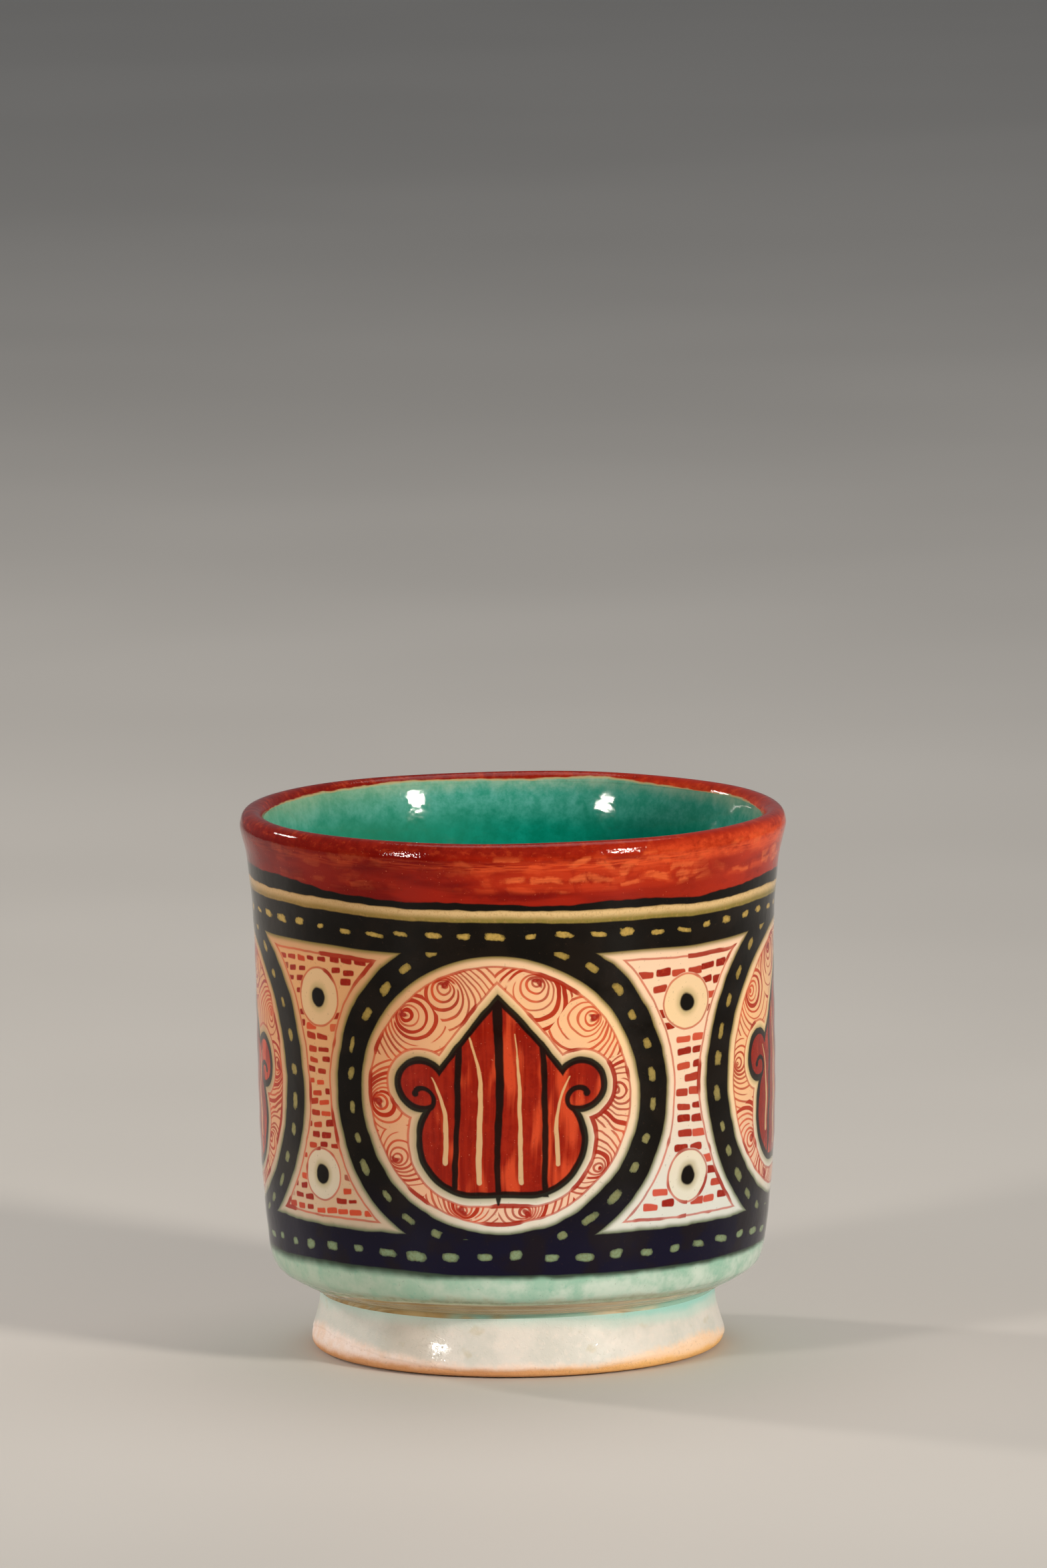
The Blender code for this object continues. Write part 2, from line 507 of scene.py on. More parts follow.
class Val:
    """A number that varies over the surface."""

    def __init__(self, socket):
        self.socket = socket

    def __add__(self, o):
        return op("ADD", self, o)

    __radd__ = __add__

    def __sub__(self, o):
        return op("SUBTRACT", self, o)

    def __rsub__(self, o):
        return op("SUBTRACT", o, self)

    def __mul__(self, o):
        return op("MULTIPLY", self, o)

    __rmul__ = __mul__

    def __truediv__(self, o):
        return op("DIVIDE", self, o)

    def __rtruediv__(self, o):
        return op("DIVIDE", o, self)

    def __neg__(self):
        return op("MULTIPLY", self, -1.0)


def plug(socket, value):
    if isinstance(value, Val):
        TREE.links.new(value.socket, socket)
    elif isinstance(value, bpy.types.NodeSocket):
        TREE.links.new(value, socket)
    else:
        socket.default_value = value


def op(kind, *args):
    n = TREE.nodes.new("ShaderNodeMath")
    n.operation = kind
    for s, a in zip(n.inputs, args):
        plug(s, a)
    return Val(n.outputs[0])


def madd(a, b, c):
    return op("MULTIPLY_ADD", a, b, c)


def mn(*a):
    out = a[0]
    for x in a[1:]:
        out = op("MINIMUM", out, x)
    return out


def mx(*a):
    out = a[0]
    for x in a[1:]:
        out = op("MAXIMUM", out, x)
    return out


def ab(a):
    return op("ABSOLUTE", a)


def hyp(x, y):
    return op("SQRT", madd(x, x, y * y))


def step(a, b, x):
    """Smooth 0 to 1 as x goes from a to b (b may be less than a)."""
    n = TREE.nodes.new("ShaderNodeMapRange")
    n.interpolation_type = "SMOOTHSTEP"
    n.clamp = False  # the curve itself stays within 0 and 1
    plug(n.inputs["Value"], x)
    plug(n.inputs["From Min"], a)
    plug(n.inputs["From Max"], b)
    return Val(n.outputs[0])


def ramp(a, b, x, lo=0.0, hi=1.0):
    n = TREE.nodes.new("ShaderNodeMapRange")
    n.clamp = False
    plug(n.inputs["Value"], x)
    plug(n.inputs["From Min"], a)
    plug(n.inputs["From Max"], b)
    return madd(mn(mx(Val(n.outputs[0]), 0.0), 1.0), hi - lo, lo)


def vec(x, y, z):
    n = TREE.nodes.new("ShaderNodeCombineXYZ")
    for s, a in zip(n.inputs, (x, y, z)):
        plug(s, a)
    return n.outputs[0]


def split(v):
    n = TREE.nodes.new("ShaderNodeSeparateXYZ")
    TREE.links.new(v, n.inputs[0])
    return [Val(o) for o in n.outputs]


def split_colour(c):
    n = TREE.nodes.new("ShaderNodeSeparateColor")
    TREE.links.new(c, n.inputs[0])
    return [Val(o) for o in n.outputs]


def noise(v, scale, detail=2.0, rough=0.5, distort=0.0):
    n = TREE.nodes.new("ShaderNodeTexNoise")
    TREE.links.new(v, n.inputs["Vector"])
    n.inputs["Scale"].default_value = scale
    n.inputs["Detail"].default_value = detail
    n.inputs["Roughness"].default_value = rough
    n.inputs["Distortion"].default_value = distort
    return n


def noise1(v, scale, detail=2.0, rough=0.5, distort=0.0):
    return Val(noise(v, scale, detail, rough, distort).outputs[0])


def noise3(v, scale, detail=1.0):
    """Three noises around zero, each about -0.5 to 0.5."""
    return [c - 0.5 for c in split_colour(noise(v, scale, detail).outputs[1])]


def chance(*cell):
    """Three random numbers 0..1 for a cell given by one to three numbers."""
    cell = vec(*(list(cell) + [0.0] * (3 - len(cell))))
    n = TREE.nodes.new("ShaderNodeTexWhiteNoise")
    n.noise_dimensions = "3D"
    TREE.links.new(cell, n.inputs["Vector"])
    return split_colour(n.outputs["Color"])


def blend(fac, a, b, kind="MIX"):
    n = TREE.nodes.new("ShaderNodeMix")
    n.data_type = "RGBA"
    n.blend_type = kind
    plug(n.inputs[0], fac)
    plug(n.inputs[6], a)
    plug(n.inputs[7], b)
    return n.outputs[2]


def begin(name):
    global TREE
    mat = bpy.data.materials.new(name)
    mat.use_nodes = True
    TREE = mat.node_tree
    TREE.nodes.clear()
    return mat


def place():
    """Position in millimetres, as a vector and as its parts."""
    t = TREE.nodes.new("ShaderNodeTexCoord")
    n = TREE.nodes.new("ShaderNodeVectorMath")
    n.operation = "SCALE"
    TREE.links.new(t.outputs["Object"], n.inputs[0])
    n.inputs["Scale"].default_value = 1000.0
    return n.outputs[0], split(n.outputs[0])


def surface(colour, roughness, height=None, depth=0.0, specular=0.5, coat=0.0):
    out = TREE.nodes.new("ShaderNodeOutputMaterial")
    b = TREE.nodes.new("ShaderNodeBsdfPrincipled")
    plug(b.inputs["Base Color"], colour)
    plug(b.inputs["Roughness"], roughness)
    b.inputs["Specular IOR Level"].default_value = specular
    b.inputs["IOR"].default_value = 1.5
    if coat:
        b.inputs["Coat Weight"].default_value = coat
        b.inputs["Coat Roughness"].default_value = 0.03
    if height is not None:
        n = TREE.nodes.new("ShaderNodeBump")
        n.inputs["Strength"].default_value = 1.0
        n.inputs["Distance"].default_value = depth
        plug(n.inputs["Height"], height)
        TREE.links.new(n.outputs[0], b.inputs["Normal"])
    TREE.links.new(b.outputs[0], out.inputs["Surface"])


# ============================================================================
# Painted coat
# ============================================================================

FRONT = math.radians(-3.8)     # turn of the roundel that faces front
WALL_R = 45.0                  # radius that arc lengths are counted on
QUARTER = WALL_R * PI / 2      # spacing of the four roundels along the wall
MID = 50.6                     # height of the frieze's centre line
ROUND = 24.1                   # radius of a roundel
STRAP = 29.5                   # outer radius of its strap
WIDE = 1.035                   # roundels are this much wider than tall
FRIEZE = 24.4                  # half height of the panels

BLACK = lin(11, 6, 2)


def wrap(a):
    """An angle brought into -pi..pi."""
    return op("FLOORED_MODULO", a + PI, 2 * PI) - PI


def lining_colour(p, x, z):
    """Turquoise glaze: deep in the cup, thinner and paler towards the lip."""
    big = noise1(p, 0.06, 3.0, 0.55)
    mid = noise1(p, 0.34, 4.0, 0.66)
    fine = noise1(p, 1.5, 3.0, 0.65)
    cloud = madd(mid, 0.50, madd(big, 0.25, fine * 0.25))
    col = blend(step(0.34, 0.66, cloud), lin(0, 116, 94), lin(10, 142, 122))
    col = blend(step(0.52, 0.72, fine) * 0.25, col, lin(0, 92, 72))
    # painted light: the lining is paler towards the left side
    col = blend(step(6.0, -32.0, x) * 0.60, col, lin(54, 140, 108))
    up = madd(big, 5.0, madd(mid, 3.0, madd(x, 0.02, z - 4.6)))
    half = blend(step(0.36, 0.64, cloud), lin(50, 148, 126), lin(96, 174, 162))
    col = blend(step(83.8, 90.2, up) * 0.92, col, half)
    pale = blend(step(0.36, 0.64, mid), lin(136, 176, 146), lin(164, 186, 158))
    col = blend(step(89.2, 94.0, up), col, pale)
    col = blend(step(-6.0, -36.0, x) * step(86.0, 91.0, up) * 0.38, col, lin(136, 164, 116))
    # painted shade: the lining is darker on the right side
    col = blend(step(0.0, 34.0, x) * 0.45, col, lin(10, 84, 66))
    # deeper where the glaze pools over the floor
    return blend(step(30.0, 17.0, z) * 0.45, col, lin(0, 104, 88))


def outer_material():
    mat = begin("painted_glaze")
    p, (x, y, z) = place()
    th = op("ARCTAN2", x, -y)
    rad = hyp(x, y)
    a1, b1, c1 = noise3(p, 0.045, 1.0)
    a2, b2, c2 = noise3(p, 0.28, 1.5)
    wx = madd(a1, 1.7, a2 * 0.46)
    wz = madd(b1, 1.3, b2 * 0.40)
    zz = z + wz
    run = madd(th, WALL_R, wx)
    tone = noise1(p, 0.11, 2.0)         # slow change of stroke strength
    grit = noise1(p, 1.3, 2.0, 0.6)     # fine unevenness of the paint
    low = step(66.0, 24.0, zz)          # 0 high on the wall, 1 low down

    # --- places within the frieze --------------------------------------------
    u = madd(run, 1.0 / QUARTER, -FRONT * WALL_R / QUARTER)
    k = op("FLOOR", u + 0.5)
    k4 = op("FLOORED_MODULO", k, 4.0)
    ra, rb, rc = chance(k4, 3.7)
    away = op("GREATER_THAN", k4, 0.5)   # the front roundel keeps its place
    lx = madd(u - k, QUARTER, (ra - 0.5) * 1.6 * away)
    lz = zz - MID + (rb - 0.5) * 0.9 * away
    sx = lx / WIDE
    rho = hyp(sx, lz)
    d_round = rho - ROUND
    d_panel = mx(STRAP - rho, ab(zz - MID) - FRIEZE)
    palm_x = lx - 0.35 + (rc - 0.5) * 0.7 * away
    ax = ab(palm_x)

    # --- ground colour --------------------------------------------------------
    warm = step(-0.12, 0.22, madd(x, 0.005, c1))
    warm = warm * step(20.0, 4.0, ab(zz - 56.0))
    col = blend(low, lin(232, 194, 156), lin(218, 215, 202))
    col = blend(warm * 0.75, col, lin(246, 208, 150))
    col = blend(step(0.45, 0.75, noise1(p, 0.22, 2.0)) * 0.22, col, lin(216, 184, 152))
    col = blend(step(0.05, -0.30, madd(x, 0.008, c1)) * (1.0 - low * 0.6) * 0.55, col, lin(228, 176, 128))
    # painted shade: the ground darkens towards the left side of the wall
    col = blend(step(4.0, -30.0, x) * 0.60, col, blend(low, lin(184, 124, 70), lin(174, 148, 118)))

    # --- palmette distance ----------------------------------------------------
    roof = (madd(ax, madd(ax, 0.02, 0.95), lz) - 16.7) * 0.70
    house = mx(roof, ax - 12.5, -7.0 - lz)
    base = hyp(mx(ax - 4.9, 0.0), lz + 7.5) - 9.6
    vol = hyp(ax - 13.9, lz - 1.95) - 4.15
    d_palm = mn(mn(house, base), vol)

    # --- red line work in the roundel's ground --------------------------------
    inside = step(0.1, -0.1, d_round)
    ground = inside * step(1.95, 2.2, d_palm) * step(22.4, 22.1, rho)
    phi = op("ARCTAN2", lz, sx)
    i = op("FLOOR", madd(phi, 10.0 / (2 * PI), 0.5))
    i10 = op("FLOORED_MODULO", i, 10.0)
    ja, jb, jc = chance(i10, k4, 1.0)
    pc = madd(i, 2 * PI / 10.0, (ja - 0.5) * 0.24)
    cp, sp = op("COSINE", pc), op("SINE", pc)
    # every curl hangs from the circle or springs from the palmette's contour
    hang = op("SIGN", madd(mx(sp, 0.0), 0.9, jc) - 0.42)
    rcen = madd(hang, 0.85, 20.45) - jb * 0.4
    ex, ez = sx - rcen * cp, lz - rcen * sp
    er = madd(a2, 0.60, madd(ex, cp, ez * sp))
    et = madd(b2, 0.60, madd(ez, cp, -(ex * sp)))
    # nested loops that draw together at its knot: circles of radius lr, each
    # centred ecc * lr from the knot along (dt, dn)
    tilt = (ja - 0.5) * 1.7
    dt, dn = op("SINE", tilt) * hang, op("COSINE", tilt) * hang * -1.0
    ecc = madd(jb, 0.20, 0.48)
    flat = 1.0 - ecc * ecc
    s = madd(et, dt, er * dn) * ecc
    root = op("SQRT", madd(s, s, flat * madd(et, et, er * er)))
    lr = (root - s) / flat
    fq = madd(op("LOGARITHM", madd(lr, 1 / 5.4, 1.0), math.e), 8.4, ja)
    ring = op("FLOOR", fq)
    ka, kb, kc = chance(ring, i10, k4 + 31.0)
    off = ab(fq - ring - 0.5) * madd(lr, 1 / 8.4, 5.4 / 8.4) * root / lr
    psi = op("ARCTAN2", er - ecc * lr * dn, et - ecc * lr * dt)
    reach = madd(kc, 1.2, 2.55) + step(2.4, 1.2, lr)
    bend = ab(wrap(psi - ka * (2 * PI))) / reach
    taper = mx(1.0 - bend * bend, 0.0)
    bold = step(0.78, 0.84, kb)
    close = step(2.6, 1.4, lr)
    nib = madd(kb, 0.09, madd(bold, 0.12, madd(close, 0.02, 0.112))) * madd(taper, 0.70, 0.35)
    fan = step(nib + 0.11, nib - 0.02, off) * step(0.02, 0.16, taper)
    fan = fan * madd(bold, 0.06, madd(kb, 0.16, madd(close, 0.04, 0.76)))
    # the dark touch of the brush at the knot
    ca, sa = op("COSINE", ja * 6.28), op("SINE", ja * 6.28)
    hx, hy = madd(et, ca, er * sa), madd(er, ca, -(et * sa))
    blob = hyp(hx * 0.42, hy) - 0.40
    blob = mn(blob, hyp(madd(hx, 0.30, hy * 0.25) - 0.14, madd(hy, 0.62, -(hx * 0.78))) - 0.32)
    blob = step(0.16, -0.10, madd(c2, 0.6, madd(a2, 0.4, blob))) * step(0.10, 0.25, jb)
    heavy = step(0.52, 0.64, noise1(vec(lx, lz, k4 * 7.0 + 3.0), 0.16, 1.0))
    contour = step(0.30, 0.12, ab(d_palm - 2.0) - heavy * 0.20)
    circle = step(0.28, 0.10, ab(rho - 22.3) - heavy * 0.20)
    col = blend(ground * madd(low, 0.16, 0.34), col, lin(236, 157, 104))
    ink = blend(step(0.35, 0.70, tone), lin(200, 64, 24), lin(166, 36, 10))
    ink = blend(heavy * 0.8, ink, lin(146, 24, 9))
    col = blend(ground * fan, col, blend(bold * 0.7, ink, lin(160, 32, 12)))
    col = blend(ground * blob * 0.92, col, lin(150, 32, 20))
    lines = mx(contour * step(22.5, 22.2, rho), circle * step(1.8, 2.0, d_palm))
    col = blend(lines * inside * madd(heavy, 0.25, 0.70), col, ink)

    # --- palmette -------------------------------------------------------------
    hal = step(1.85, 0.30, d_palm) * inside
    col = blend(hal * 0.72, col, blend(low, lin(150, 134, 78), lin(128, 136, 104)))
    streak = noise1(vec(palm_x * 1.3, k4 * 5.0, lz * 0.05), 1.0, 3.0, 0.6)
    patch = noise1(vec(palm_x * 0.30, k4 * 3.0 + 1.0, lz * 0.09), 1.0, 1.0)
    light = step(0.51, 0.63, madd(patch, 0.80, madd(palm_x, 0.005, streak * 0.20)))
    fill = blend(step(0.32, 0.66, streak), lin(128, 18, 3), lin(146, 28, 8))
    fill = blend(step(0.45, 0.66, noise1(p, 0.5, 3.0, 0.65)) * 0.30, fill, lin(168, 42, 17))
    fill = blend(light * 0.80, fill, lin(208, 74, 38))
    fill = blend(step(0.58, 0.78, grit) * 0.28, fill, lin(126, 18, 9))
    fill = blend(step(0.79, 0.85, noise1(p, 3.6, 0.0)) * 0.35, fill, lin(226, 140, 104))
    col = blend(step(0.1, -0.1, d_palm) * inside, col, fill)
    # pale veins, bowed a little differently on the two sides
    left = op("LESS_THAN", palm_x, 0.0)
    up0 = mx(lz, 0.0)
    v1 = madd(left * up0, up0 * 0.017, madd(left, 0.45, 3.15)) - (1.0 - left) * lz * 0.05
    v1 = hyp(ax - v1, mx(ab(lz + 2.0) - 12.9, 0.0)) - ramp(11.5, -2.0, lz, 0.08, 0.46) * madd(left, 0.22, 0.78)
    bow = mx(lz + 6.0, 0.0)
    v2 = madd(bow, bow * 0.025, 9.70) + (1.0 - left) * mx(-6.0 - lz, 0.0) * 0.08
    v2 = hyp(ax - v2, mx(ab(lz + 4.1) - 7.4, 0.0)) - ramp(4.0, -6.0, lz, 0.08, 0.48) * madd(left, 0.20, 0.74)
    vein = step(0.14, -0.06, madd(c2, 0.3, mn(v1, v2))) * step(-0.3, -0.6, d_palm)
    col = blend(vein * 0.93, col, blend(low, lin(214, 166, 112), lin(202, 170, 130)))
    # black drawing
    outline = ab(d_palm) - 0.60
    mid_rib = ab(palm_x + 0.25) - ramp(13.0, -10.0, lz, 0.85, 0.55) * ramp(-19.2, -17.4, lz, 0.1, 1.0)
    mid_rib = mx(mid_rib, mx(roof, -19.0 - lz))
    rib = ab(ax - 7.55 + lz * 0.03) - 0.55
    rib = mx(rib, mx(roof, -17.4 - lz + left * 1.2))
    vx, vz = 13.7 - ax, lz + 0.35
    spin = op("ARCTAN2", vz, vx)
    coil = ab(madd(spin, 0.14, hyp(vx, vz)) - 1.95) - 0.42
    coil = mx(coil, mx(-1.25 - spin, spin - 2.5))
    drop = hyp(vx + 1.30, vz - 0.75) - 0.56
    ink_d = mn(mn(mn(outline, coil), drop), mn(mid_rib, rib))
    drawn = step(0.16, -0.14, madd(b2, 0.30, ink_d)) * inside
    col = blend(drawn * 0.97, col, BLACK)

    # --- panels between the roundels ------------------------------------------
    kp = op("FLOOR", u)
    kp4 = op("FLOORED_MODULO", kp, 4.0)
    px = (u - kp - 0.5) * QUARTER
    pa, pb, pd = chance(kp4, 11.3)
    pz = zz - MID
    in_panel = step(0.1, -0.1, d_panel)
    up = op("GREATER_THAN", pz, 0.0)
    eye_z = madd(up, 30.6, -15.7) + (pa - 0.5) * 0.8
    eye_r = madd(up, 0.35, 4.6)
    gx, gz = px + (pb - 0.5) * 0.8, pz - eye_z
    eye = hyp(gx, gz * 1.02) - eye_r
    lift = madd(px, (pd - 0.5) * 0.08, pz)
    # two panels have larger dashes than the two between them
    odd = op("FLOORED_MODULO", kp4, 2.0)
    high, wide = madd(odd, -0.50, 2.38), madd(odd, -0.45, 3.40)
    row = op("FLOOR", lift / high)
    ba, bb, bc = chance(row, kp4, 5.0)
    bt = px / wide + (ba - 0.5) * 0.7
    bi = op("FLOOR", bt)
    da, db, dc = chance(bi, row, kp4 + 20.0)
    cx = madd(bi + 0.5 - (ba - 0.5) * 0.7, wide, (da - 0.5) * 0.4)
    cz = madd(row + 0.5, high, (dc - 0.5) * 0.45)
    c_in = mx(STRAP - hyp((QUARTER / 2 - ab(cx)) / WIDE, cz), ab(cz) - FRIEZE)
    c_eye = hyp(cx + (pb - 0.5) * 0.8, cz - eye_z) - eye_r
    bx = ab(px - cx) - madd(db, 0.42, madd(odd, -0.27, 0.80))
    bz = ab(lift - cz + (px - cx) * (bb - 0.5) * 0.16) - madd(da, 0.14, 0.0)
    bx, bz = mx(bx, 0.0), mx(bz, 0.0)
    brick = madd(hyp(bx, bz), 0.55, mx(bx, bz) * 0.45) - madd(odd, -0.15, 0.56)
    brick = madd(b2, 0.35, madd(c2, 0.35, brick))
    brick_m = step(0.12, -0.10, brick) * step(-2.00, -2.10, c_in) * step(0.20, 0.30, c_eye)
    brick_m = brick_m * step(-1.90, -2.05, d_panel) * step(0.15, 0.35, eye)
    rim_line = step(0.28, 0.10, ab(d_panel + 1.72) - heavy * 0.22)
    rim_line = mx(rim_line, step(0.26, 0.10, ab(eye) - heavy * 0.18))
    tint = step(-1.5, -2.6, d_panel) * step(0.0, 0.4, eye)
    # painted light: the panels' ground is paler and less orange towards the right side
    bright = step(4.0, 24.0, x)
    col = blend(tint * madd(low, -0.14, 0.34) * (1.0 - bright), col, lin(238, 172, 108))
    clear = in_panel * bright * madd(step(0.2, -0.2, eye), -0.50, 0.75)
    col = blend(clear, col, blend(low, lin(241, 207, 178), lin(212, 217, 212)))
    col = blend(step(0.2, -0.2, eye) * in_panel * 0.45, col, blend(low, lin(232, 206, 158), lin(222, 220, 200)))
    dip = step(0.25, 0.62, madd(bc, 0.5, dc * 0.5))
    bcol = blend(dip, lin(198, 58, 22), lin(144, 23, 7))
    bcol = blend(step(0.50, 0.72, grit) * 0.26, bcol, lin(200, 74, 38))
    col = blend(brick_m * madd(dip, 0.07, 0.92), col, bcol)
    col = blend(rim_line * in_panel * madd(heavy, 0.25, 0.70), col, ink)
    pupil = hyp(gx * 0.94, gz * 0.92) - 1.58
    pupil = madd(b2, 0.7, madd(c2, 0.4, pupil))
    col = blend(step(1.3, 0.0, pupil) * in_panel * 0.55, col, lin(150, 138, 84))
    col = blend(step(0.22, -0.18, pupil) * in_panel, col, BLACK)

    # --- straps and bands -----------------------------------------------------
    depth = madd(b2, 0.34, -mn(d_round, d_panel))
    halo = step(1.30, 0.05, depth)
    halo_col = blend(low, lin(122, 108, 52), lin(100, 112, 82))
    col = blend(halo * halo * 0.90, col, halo_col)
    night = blend(step(38.0, 21.0, zz), BLACK, lin(13, 10, 34))
    night = blend(step(0.46, 0.60, noise1(p, 0.13, 3.0)) * 0.50, night, lin(26, 17, 9))
    strap = step(0.14, -0.16, depth)
    col = blend(strap, col, night)

    # dashes along the straps: brush dabs of uneven size
    def dab(along, across, ha, hb, hc, long, tall, torn=0.5):
        dx = ab(along + (ha - 0.5) * 0.9) / madd(hb, 0.55 * long, 0.62 * long)
        dy = ab(across + (hc - 0.5) * 0.9) / madd(ha, 0.42 * tall, 0.70 * tall)
        oval = hyp(dx, dy)
        d = madd(oval, 0.6, mx(dx, dy) * 0.4) - 1.0
        return madd(a2, 0.8, madd(c2, 0.8, madd(grit, torn, d - torn * 0.5)))

    def dab_row(count, height, seed, long, tall, torn):
        along = madd(th + PI, count / (2 * PI), wx * (count / (2 * PI * WALL_R)))
        n = op("FLOOR", along)
        ha, hb, hc = chance(op("FLOORED_MODULO", n, float(count)), seed)
        t = (along - n - 0.5) * (2 * PI * WALL_R / count)
        return dab(t, zz - height + t * (hb - 0.5) * 0.22, ha, hb, hc, long, tall, torn)

    upper = dab_row(50, 78.1, 41.0, 1.25, 0.55, 0.95)
    lower = dab_row(47, 22.5 - step(0.70, 0.95, ab(op("SINE", th))) * 0.7, 77.0, 1.45, 0.78, 0.5)
    turns = madd(phi, 30.0 / (2 * PI), 15.0)
    n = op("FLOOR", turns)
    ha, hb, hc = chance(op("FLOORED_MODULO", n, 30.0), k4 + 60.0)
    ring_d = dab((turns - n - 0.5) * 5.62, rho - 26.85, ha, hb, hc, 1.25, 0.66, 0.7)
    ring_d = mx(ring_d, mx(step(75.0, 75.9, zz), step(26.0, 25.0, zz)) * 2.0 - 1.0)
    dab_d = mn(mn(upper, lower), ring_d)
    dash_col = blend(low, lin(186, 154, 80), lin(128, 148, 114))
    dash_col = blend(step(0.05, -0.05, ring_d - mn(upper, lower)) * 0.38, dash_col, lin(112, 98, 44))
    dash_col = blend(step(-0.45, 0.0, dab_d) * 0.75, dash_col, blend(low, lin(112, 94, 40), lin(78, 92, 70)))
    dash_col = blend(step(0.42, 0.62, noise1(p, 2.2, 2.0, 0.6)) * 0.32, dash_col, lin(104, 92, 46))
    col = blend(step(0.16, -0.06, dab_d) * strap * 0.95, col, dash_col)

    # --- lines above the frieze -----------------------------------------------
    side = op("SINE", th)
    line_z = madd(side, 0.85, madd(a1, 0.8, zz + 0.3))
    cream_line = step(80.8, 81.1, line_z)
    pale = blend(step(82.5, 81.3, line_z), lin(214, 182, 130), lin(132, 116, 54))
    pale = blend(step(0.50, 0.75, grit) * 0.35, pale, lin(186, 148, 92))
    pale = blend(step(0.52, 0.66, noise1(p, 3.0, 1.0)) * 0.30, pale, lin(160, 126, 74))
    pale = blend(step(82.7, 83.2, line_z) * 0.7, pale, lin(150, 122, 70))
    # painted shade: the cream line darkens towards the left side
    pale = blend(step(0.0, -34.0, x) * 0.40, pale, lin(150, 106, 60))
    col = blend(cream_line, col, pale)
    col = blend(step(82.95, 83.2, madd(c2, 0.5, line_z)), col, BLACK)

    # --- red rim ----------------------------------------------------------------
    red_z = madd(side, 0.35, madd(c1, 2.2, line_z)) - side * side * 1.25
    rim = step(84.05, 84.35, madd(a2, 0.5, red_z))
    sway = noise3(p, 0.20, 0.0)
    rim_z = madd(a2, 0.45, z)
    brush = noise1(vec(th * 8.0, 2.0, rim_z * 2.4), 1.0, 2.0, 0.6)
    fray = noise1(p, 0.85, 2.0, 0.6) - 0.5
    wash = noise1(vec(th * 3.2, 0.0, rim_z * 0.30), 1.0, 2.0)

    def strokes(count, tall, seed, keep):
        """Flat brush strokes laid along the rim in uneven rows."""
        v = madd(sway[0], 2.4, rim_z) / tall + seed
        r = op("FLOOR", v)
        ha, hb, hc = chance(r, seed)
        t = madd(th + PI, count / (2 * PI), madd(sway[1], 0.9, ha * 7.0))
        n = op("FLOOR", t)
        cell = op("FLOORED_MODULO", n, float(count))
        sa, sb, sc = chance(cell, r, seed + 3.0)
        ka, kb, kc = chance(cell, r, seed + 9.0)
        dx = madd(fray, 0.40, ab(t - n - 0.5 + (sa - 0.5) * 0.30)) - madd(sb, 0.26, 0.18)
        dz = madd(fray, 0.70, ab(v - r - 0.5)) - madd(sc, 0.18, 0.22)
        m = step(0.14, -0.10, dx) * step(0.42 / tall, -0.22 / tall, dz)
        return m * step(1.0 - keep, 1.15 - keep, ka) * ramp(0.35, 0.65, brush, 0.50, 1.0)

    turn = []
    for centre, wide, weight in (
        (0.30, 0.62, 1.0),
        (1.22, 0.42, 0.9),
        (-0.78, 0.40, 0.45),
        (2.45, 0.70, 0.9),
        (-2.15, 0.65, 0.8),
    ):
        turn.append(step(math.cos(wide), math.cos(wide * 0.35), op("COSINE", th - centre)) * weight)
    loaded = mx(*turn)
    zone = step(85.4, 86.6, z) * step(93.0, 91.6, z) * loaded
    red = blend(step(0.36, 0.62, madd(wash, 0.85, brush * 0.15)), lin(116, 8, 1), lin(150, 27, 7))
    # painted light: the red is lighter and more orange towards the right side
    red = blend(step(4.0, 40.0, x) * 0.55, red, lin(176, 46, 18))
    red = blend(step(0.40, 0.60, madd(wash, 0.6, loaded * 0.25)) * zone * 0.45, red, lin(188, 50, 18))
    red = blend(strokes(29, 2.7, 0.35, 0.60) * zone * 0.60, red, lin(196, 58, 22))
    red = blend(strokes(41, 1.9, 5.15, 0.55) * zone * 0.60, red, lin(214, 80, 36))
    red = blend(strokes(59, 1.3, 8.6, 0.42) * zone * 0.65, red, lin(236, 116, 60))
    under_lip = step(1.1, 0.2, ab(madd(wash, 1.6, z - 91.3))) * step(0.40, 0.62, brush)
    red = blend(under_lip * madd(loaded, 0.45, 0.25), red, lin(218, 84, 38))
    red = blend(strokes(23, 3.4, 2.2, 0.40) * (1.0 - zone) * 0.45, red, lin(104, 5, 1))
    # painted shade: the red darkens towards the left side
    red = blend(step(-6.0, -36.0, x) * 0.50, red, lin(94, 5, 1))
    red = blend(step(0.80, 0.86, noise1(p, 3.8, 0.0)) * 0.40, red, lin(226, 122, 80))
    lip_tone = blend(step(0.35, 0.65, noise1(p, 0.55, 3.0, 0.6)), lin(118, 18, 9), lin(142, 32, 17))
    # painted light: the lip is lighter towards the right side
    lip_tone = blend(step(-12.0, 26.0, x) * 0.55, lip_tone, lin(178, 42, 17))
    flick = noise1(vec(th * 26.0, 4.0, z * 0.9), 1.0, 3.0, 0.65)
    lip_tone = blend(step(0.52, 0.68, flick) * 0.45, lip_tone, lin(206, 78, 36))
    lip_tone = blend(step(0.46, 0.30, flick) * 0.40, lip_tone, lin(92, 18, 7))
    red = blend(step(91.8, 93.2, z) * 0.75, red, lip_tone)
    flush = step(12.0, 36.0, x) * step(89.0, 90.6, z) * step(94.0, 92.4, z)
    red = blend(flush * step(0.30, 0.62, madd(wash, 0.5, flick * 0.5)) * 0.70, red, lin(228, 84, 40))
    col = blend(rim, col, red)
    # the lining's colour comes up over the inner side of the lip
    over = madd(op("COSINE", th), 0.55, madd(a2, 0.35, madd(c1, 1.9, z)))
    over = madd(noise1(vec(th * 16.0, z, 7.0), 1.0, 2.0) - 0.5, 0.5, over)
    lip_in = step(45.4, 44.9, rad) * step(90.4, 91.0, z)
    col = blend(step(92.70, 92.42, over) * lip_in, col, lin(182, 158, 112))
    col = blend(step(92.56, 92.05, over) * lip_in, col, lining_colour(p, x, z))

